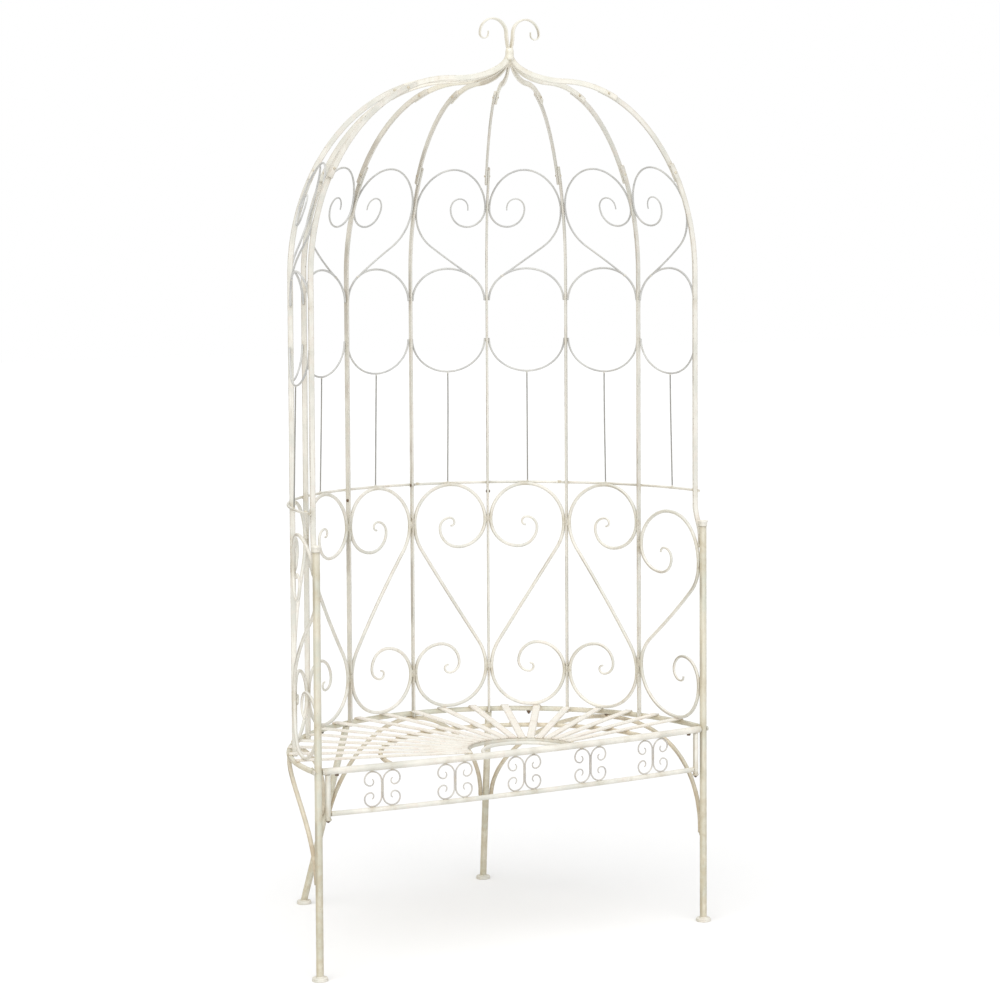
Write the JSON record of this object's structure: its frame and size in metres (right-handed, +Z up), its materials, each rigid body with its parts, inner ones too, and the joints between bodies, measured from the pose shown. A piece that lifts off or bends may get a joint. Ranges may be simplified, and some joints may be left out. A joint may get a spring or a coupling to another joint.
{
  "type": "arbour seat",
  "caption": "Half-round wrought-iron arbour seat with radiating slats, a screen of S-scroll panels round the back and a ribbed half dome with a double-scroll finial.",
  "frame": {"origin": "on the ground, under the middle of the whole seat", "axes": "+Z up, the open front towards -Y, +X to the right of someone who faces the seat from the front"},
  "size_m": [1.015, 0.6654, 2.064],
  "materials": {
    "cream_paint": "matte",
    "worn_paint": "matte",
    "slat_paint": "matte",
    "bolt_steel": "matte"
  },
  "bodies": {
    "root": {"front_post_left": "cream_paint", "front_post_right": "cream_paint", "post_cap_left": "worn_paint", "post_cap_right": "worn_paint", "back_leg_left": "cream_paint", "back_leg_right": "cream_paint", "foot_disc_front_left": "worn_paint", "foot_disc_front_right": "worn_paint", "foot_disc_back_left": "worn_paint", "foot_disc_back_right": "worn_paint", "upright_1": "cream_paint", "upright_2": "cream_paint", "upright_3": "cream_paint", "upright_4": "cream_paint", "upright_5": "cream_paint", "upright_6": "cream_paint", "upright_7": "cream_paint", "upright_8": "cream_paint", "upright_9": "cream_paint", "dome_rib_1": "cream_paint", "dome_rib_2": "cream_paint", "dome_rib_3": "cream_paint", "dome_rib_4": "cream_paint", "dome_rib_5": "cream_paint", "dome_rib_6": "cream_paint", "dome_rib_7": "cream_paint", "dome_rib_8": "cream_paint", "dome_rib_9": "cream_paint", "crown": "worn_paint", "tie_ring": "cream_paint", "back_scroll_1": "cream_paint", "back_scroll_2": "cream_paint", "back_scroll_3": "cream_paint", "back_scroll_4": "cream_paint", "back_scroll_5": "cream_paint", "back_scroll_6": "cream_paint", "back_scroll_7": "cream_paint", "back_scroll_8": "cream_paint", "heart_1": "cream_paint", "heart_2": "cream_paint", "heart_3": "cream_paint", "heart_4": "cream_paint", "heart_5": "cream_paint", "heart_6": "cream_paint", "heart_7": "cream_paint", "heart_8": "cream_paint", "front_rail": "cream_paint", "seat_bolt_left": "bolt_steel", "seat_bolt_right": "bolt_steel", "seat_rim": "cream_paint", "seat_mid_hoop": "cream_paint", "seat_inner_hoop": "cream_paint", "seat_slats": "slat_paint", "apron_rail": "cream_paint", "apron_end_left": "cream_paint", "apron_end_right": "cream_paint", "leg_arch_left": "worn_paint", "leg_arch_back": "worn_paint", "leg_arch_right": "worn_paint"}
  },
  "joints": []
}
